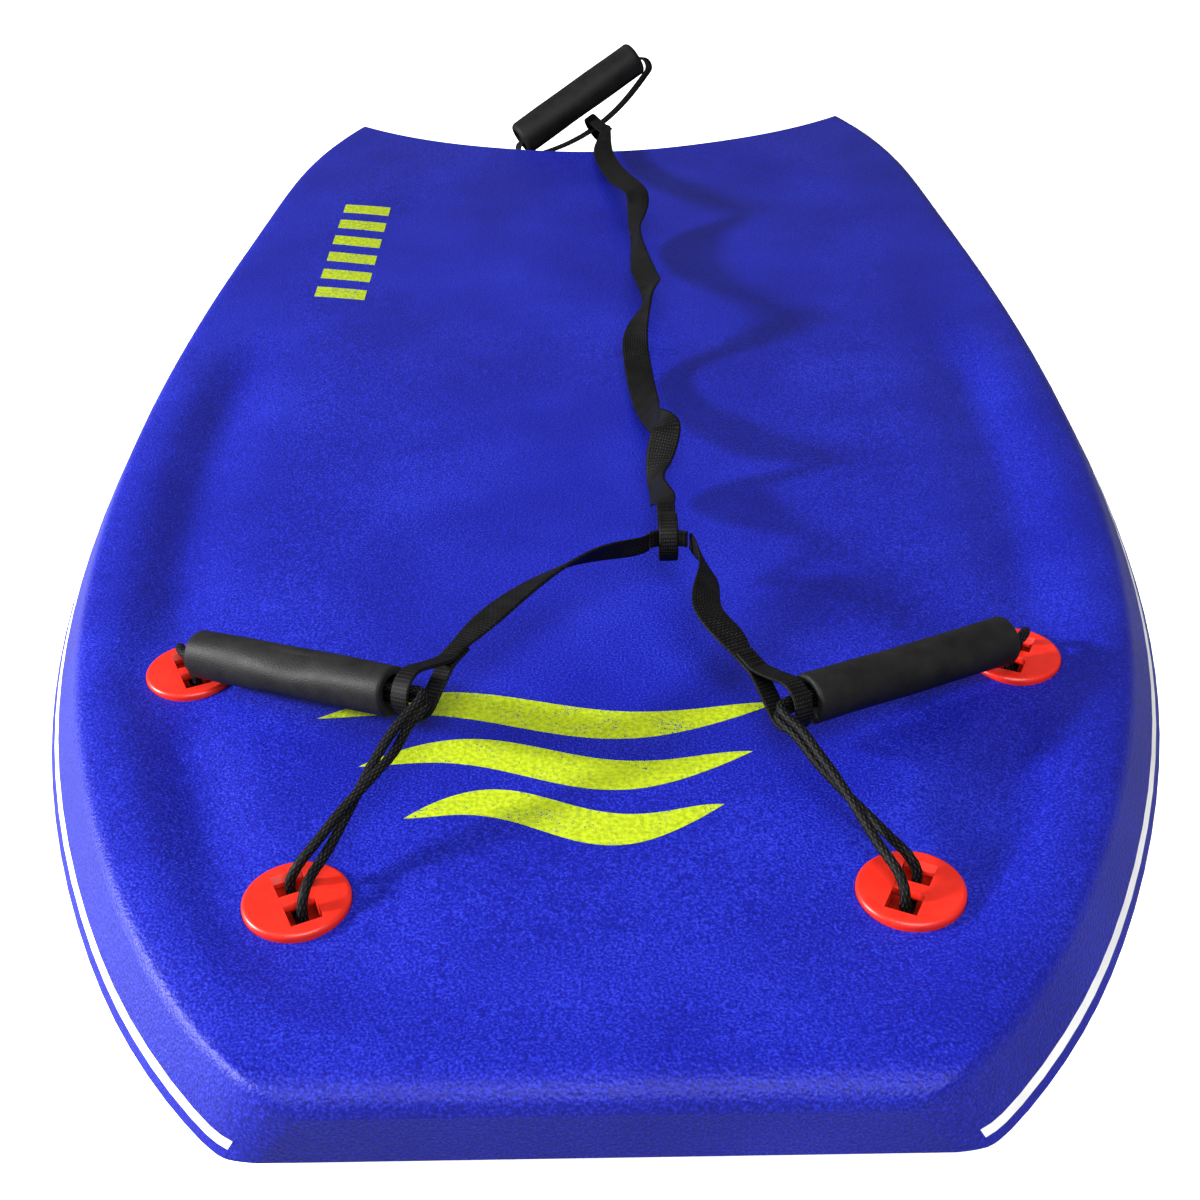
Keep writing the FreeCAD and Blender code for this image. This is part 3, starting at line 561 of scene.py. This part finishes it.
class Finish:
    """A material with short ways to add and join its nodes."""

    def __init__(self, name):
        self.material = bpy.data.materials.new(name)
        self.material.use_nodes = True
        self.tree = self.material.node_tree
        self.shader = self.tree.nodes["Principled BSDF"]
        self.place = self.node("ShaderNodeTexCoord").outputs["Object"]

    def node(self, kind, settings=None, **inputs):
        made = self.tree.nodes.new(kind)
        for key, value in (settings or {}).items():
            setattr(made, key, value)
        for key, value in inputs.items():
            self.join(value, made.inputs[key])
        return made

    def join(self, value, socket):
        if isinstance(value, bpy.types.NodeSocket):
            self.tree.links.new(value, socket)
        else:
            socket.default_value = value

    def set(self, name, value):
        self.join(value, self.shader.inputs[name])

    def noise(self, size, detail=2.0, place=None, stretch=None):
        """Noise whose patches are about size millimetres across."""
        place = self.place if place is None else place
        if stretch:
            place = self.node("ShaderNodeMapping", Vector=place, Scale=stretch).outputs["Vector"]
        made = self.node("ShaderNodeTexNoise", Vector=place, Scale=1 / (size * MM), Detail=detail)
        return made.outputs["Fac"]

    def cells(self, size, feature="F1"):
        made = self.node("ShaderNodeTexVoronoi", {"feature": feature}, Vector=self.place,
                         Scale=1 / (size * MM))
        return made.outputs["Distance"]

    def relief(self):
        return self.node("ShaderNodeAttribute", {"attribute_name": "relief"}).outputs["Fac"]

    def ramp(self, value, *stops):
        made = self.node("ShaderNodeValToRGB", Fac=value)
        ramp = made.color_ramp
        while len(ramp.elements) < len(stops):
            ramp.elements.new(0.5)
        for element, (spot, colour) in zip(ramp.elements, stops):
            element.position = spot
            element.color = (*colour, 1) if len(colour) == 3 else colour
        return made.outputs["Color"]

    def blend(self, share, a, b, kind="MIX"):
        made = self.node("ShaderNodeMix", {"data_type": "RGBA", "blend_type": kind})
        self.join(share, made.inputs[0])
        self.join(a, made.inputs[6])
        self.join(b, made.inputs[7])
        return made.outputs[2]

    def sum(self, a, b, share=1.0):
        made = self.node("ShaderNodeMath", {"operation": "MULTIPLY_ADD"})
        self.join(b, made.inputs[0])
        self.join(share, made.inputs[1])
        self.join(a, made.inputs[2])
        return made.outputs[0]

    def span(self, value, low, high):
        made = self.node("ShaderNodeMapRange", Value=value)
        made.inputs["To Min"].default_value = low
        made.inputs["To Max"].default_value = high
        return made.outputs[0]

    def bump(self, height, depth, strength=1.0, below=None):
        """Bump with this depth in millimetres."""
        made = self.node("ShaderNodeBump", Height=height, Distance=depth * MM, Strength=strength)
        if below is not None:
            self.join(below, made.inputs["Normal"])
        return made.outputs["Normal"]


def grey(value):
    return (value, value, value)


def skin_finish(name, dark, mid, light, depth):
    """Embossed foam skin: speckled colour over a fine pebble grain of this depth."""
    f = Finish(name)
    grain = f.noise(1.0, 4.0)
    fine = f.noise(0.5, 2.0)
    broad = f.noise(70, 2.0)
    pebbles = f.cells(1.3, "SMOOTH_F1")
    speckle = f.sum(f.sum(0.0, grain, 0.8), broad, 0.2)
    f.set("Base Color", f.ramp(speckle, (0.36, dark), (0.50, mid), (0.66, light)))
    f.set("Roughness", f.span(grain, 0.32, 0.60))
    f.set("Specular IOR Level", 0.17)
    soft = f.bump(f.sum(pebbles, grain, 0.8), depth, 0.9)
    f.set("Normal", f.bump(fine, 0.12, 0.6, soft))
    return f.material


def deck_finish():
    dark, mid, light = (0.001, 0.003, 0.11), (0.003, 0.005, 0.19), (0.012, 0.022, 0.34)
    return skin_finish("deck_foam", dark, mid, light, 0.30)


def rail_finish():
    dark, mid, light = (0.001, 0.003, 0.13), (0.003, 0.005, 0.20), (0.009, 0.016, 0.30)
    return skin_finish("rail_foam", dark, mid, light, 0.16)


def white_finish():
    """White foam strip, cut and heat sealed."""
    f = Finish("white_foam")
    cells = f.cells(0.8)
    stain = f.noise(30, 3.0)
    f.set("Base Color", f.ramp(stain, (0.3, grey(0.58)), (0.7, grey(0.70))))
    f.set("Roughness", f.span(f.noise(1.5, 2.0), 0.45, 0.65))
    f.set("Normal", f.bump(f.sum(cells, f.noise(3, 2.0), 0.6), 0.15, 0.5))
    return f.material


def core_finish():
    f = Finish("core_foam")
    f.set("Base Color", f.ramp(f.noise(3, 3.0), (0.3, grey(0.62)), (0.7, grey(0.74))))
    f.set("Roughness", 0.8)
    f.set("Normal", f.bump(f.cells(2.0), 0.3, 0.6))
    return f.material


def slick_finish():
    """Smooth plastic bottom with a faint lengthways grain and fine scratches."""
    f = Finish("slick")
    drawn = f.noise(1.2, 3.0, stretch=(1.0, 0.02, 1.0))
    cloud = f.noise(90, 2.0)
    f.set("Base Color", f.ramp(cloud, (0.35, (0.60, 0.61, 0.62)), (0.65, (0.70, 0.71, 0.72))))
    f.set("Roughness", f.span(drawn, 0.22, 0.40))
    f.set("Coat Weight", 0.15)
    f.set("Normal", f.bump(f.sum(drawn, f.noise(25, 2.0), 0.8), 0.06, 0.6))
    return f.material


def ink_finish():
    """Screen-printed ink that misses the bottoms of the grain."""
    f = Finish("lime_ink")
    grain = f.noise(2.1, 3.0)
    worn = f.sum(f.noise(1.1, 3.0), f.noise(14, 2.0), 0.35)
    ink = f.ramp(grain, (0.35, (0.19, 0.25, 0.003)), (0.65, (0.30, 0.38, 0.006)))
    holes = f.ramp(worn, (0.46, grey(1.0)), (0.52, grey(0.0)))
    f.set("Base Color", f.blend(holes, ink, (0.01, 0.02, 0.16, 1)))
    f.set("Roughness", f.span(grain, 0.42, 0.6))
    f.set("Specular IOR Level", 0.25)
    f.set("Normal", f.bump(f.sum(grain, f.cells(1.7, "SMOOTH_F1")), 0.30, 0.6))
    return f.material


def plug_finish():
    """Moulded satin plastic."""
    f = Finish("plug_plastic")
    cloud = f.noise(9, 2.0)
    f.set("Base Color", f.ramp(cloud, (0.35, (0.40, 0.010, 0.004)), (0.65, (0.47, 0.014, 0.006))))
    f.set("Roughness", f.span(f.noise(1.6, 3.0), 0.30, 0.44))
    f.set("Specular IOR Level", 0.30)
    f.set("Subsurface Weight", 0.06)
    f.set("Subsurface Radius", (0.004, 0.001, 0.001))
    f.set("Normal", f.bump(f.sum(f.noise(0.5, 2.0), f.noise(6, 1.0), 2.0), 0.05, 0.5))
    return f.material


def yarn_finish(name, low, high, depth):
    """Yarns darker in their hollows (painted shade) and greyer on their crowns (a painted highlight),
    both from the weave's relief, with fine filaments.
    """
    f = Finish(name)
    thread = f.noise(0.35, 2.0)
    patch = f.noise(7, 2.0)
    # painted shade and highlight: the weave's relief darkens the hollows and lightens the crowns; thread
    # and patch noise add random tone
    painted_shade_and_tone = f.sum(f.sum(0.0, f.relief(), 0.6), thread, 0.25)
    painted_shade_and_tone = f.sum(painted_shade_and_tone, patch, 0.15)
    # the ramp's top stop is a painted highlight on the yarn crowns
    f.set("Base Color", f.ramp(painted_shade_and_tone, (0.42, grey(low)), (0.64, grey(high)), (0.80, grey(high * 8))))
    f.set("Roughness", f.span(thread, 0.45, 0.70))
    f.set("Specular IOR Level", 0.06)
    f.set("Normal", f.bump(f.sum(thread, f.noise(0.9, 1.0), 0.5), depth, 0.7))
    return f.material


def grip_finish():
    """Closed-cell foam skin: satin, with fine pores and rubbed streaks round the tube."""
    f = Finish("grip_foam")
    pores = f.cells(0.7)
    cloud = f.noise(16, 3.0)
    rubbed = f.noise(5, 3.0)
    f.set("Base Color", f.ramp(f.sum(cloud, rubbed, 0.4), (0.45, grey(0.003)), (0.9, grey(0.008))))
    f.set("Roughness", f.span(f.sum(cloud, rubbed, 0.5), 0.42, 0.62))
    f.set("Specular IOR Level", 0.11)
    f.set("Normal", f.bump(f.sum(pores, f.noise(3, 2.0), 0.8), 0.12, 0.6))
    return f.material


def floor_finish():
    f = Finish("floor")
    f.set("Base Color", f.ramp(f.noise(400, 2.0), (0.3, grey(0.90)), (0.7, grey(0.93))))
    f.set("Roughness", 0.9)
    f.set("Emission Color", grey(1.0) + (1,))
    f.set("Emission Strength", FLOOR_GLOW)
    dim = f.node("ShaderNodeBsdfDiffuse", Color=grey(FLOOR_DIM) + (1,))
    seen = f.node("ShaderNodeLightPath").outputs["Is Camera Ray"]
    both = f.node("ShaderNodeMixShader", Fac=seen)
    f.join(dim.outputs[0], both.inputs[1])
    f.join(f.shader.outputs[0], both.inputs[2])
    f.join(both.outputs[0], f.tree.nodes["Material Output"].inputs["Surface"])
    return f.material


def dress(finishes):
    """Puts each CAD node's finish on it, from the given table."""
    for name, material in finishes.items():
        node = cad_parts[name]
        node.data.materials.clear()
        node.data.materials.append(material)


# ---------------------------------------------------------------- stage


def make_floor():
    size = 60.0
    mesh = bpy.data.meshes.new("floor")
    corners = [(-size, -size, 0), (size, -size, 0), (size, size, 0), (-size, size, 0)]
    low = CAD_BOX[0].z
    mesh.from_pydata([(x, y, low) for x, y, z in corners], [], [(0, 1, 2, 3)])
    floor = bpy.data.objects.new("floor", mesh)
    bpy.context.scene.collection.objects.link(floor)
    floor.data.materials.append(floor_finish())


def area_light(name, way, far, size, power):
    data = bpy.data.lights.new(name, "AREA")
    data.size = size
    data.energy = power
    lamp = bpy.data.objects.new(name, data)
    way = Vector(unit(way))
    lamp.location = way * far
    lamp.rotation_mode = "QUATERNION"
    lamp.rotation_quaternion = way.to_track_quat("Z", "Y")
    bpy.context.scene.collection.objects.link(lamp)


def make_lights():
    area_light("key", KEY_FROM, KEY_FAR, KEY_SIZE, KEY_POWER)
    area_light("front", FRONT_FROM, FRONT_FAR, FRONT_SIZE, FRONT_POWER)
    world = bpy.data.worlds.new("studio")
    world.use_nodes = True
    tree = world.node_tree
    background = tree.nodes["Background"]
    background.inputs["Color"].default_value = (1, 1, 1, 1)
    seen = tree.nodes.new("ShaderNodeLightPath").outputs["Is Camera Ray"]
    strength = tree.nodes.new("ShaderNodeMapRange")
    strength.inputs["To Min"].default_value = ROOM
    strength.inputs["To Max"].default_value = 1.0
    tree.links.new(seen, strength.inputs["Value"])
    tree.links.new(strength.outputs[0], background.inputs["Strength"])
    bpy.context.scene.world = world
    bpy.context.scene.view_settings.view_transform = "Standard"
    bpy.context.scene.view_settings.look = "None"


def make_camera():
    data = bpy.data.cameras.new("camera")
    data.lens = CAMERA_LENS
    data.sensor_width = SENSOR
    data.clip_start = 0.02
    data.clip_end = 200
    camera = bpy.data.objects.new("camera", data)
    yaw, pitch, roll = CAMERA_YAW, CAMERA_PITCH, CAMERA_ROLL
    ahead = vec(math.sin(yaw) * math.cos(pitch), math.cos(yaw) * math.cos(pitch), -math.sin(pitch))
    right = vec(math.cos(yaw), -math.sin(yaw), 0)
    above = np.cross(right, ahead)
    rolled = right * math.cos(roll) + above * math.sin(roll)
    above = above * math.cos(roll) - right * math.sin(roll)
    spot = CAMERA_SPOT * MM
    columns = (rolled, above, -ahead, spot)
    rows = [[column[row] for column in columns] for row in range(3)]
    camera.matrix_world = Matrix(rows + [[0, 0, 0, 1]])
    bpy.context.scene.collection.objects.link(camera)
    bpy.context.scene.camera = camera


# ---------------------------------------------------------------- assembly

CORD = yarn_finish("black_cord", 0.0005, 0.0035, 0.06)
WEBBING = yarn_finish("black_webbing", 0.0005, 0.0035, 0.08)
THREAD = yarn_finish("black_thread", 0.002, 0.008, 0.05)
GRIP = grip_finish()
DECK = deck_finish()
RAIL = rail_finish()
WHITE = white_finish()
PLUG = plug_finish()
INK = ink_finish()

wanted = {"core": core_finish(), "deck_skin": DECK, "slick_bottom": slick_finish(), "tail_strip": DECK,
          "front_print": INK, "rear_print": INK}
for word in ("left", "right"):
    wanted["rail_stripe_" + word] = WHITE
    wanted["lower_rail_" + word] = RAIL
    for place in ("outer", "front"):
        wanted["plug_top_" + place + "_" + word] = PLUG
        wanted["plug_bottom_" + place + "_" + word] = PLUG
dress(wanted)

for side, word in ((-1, "left"), (1, "right")):
    hand_cord(side, word)
    hand_grip(side, word)
    bridle_arm(side, word)
bridle_middle()
tow_strap()
tow_handle_webbing()
tow_grip()

make_floor()
make_lights()
make_camera()
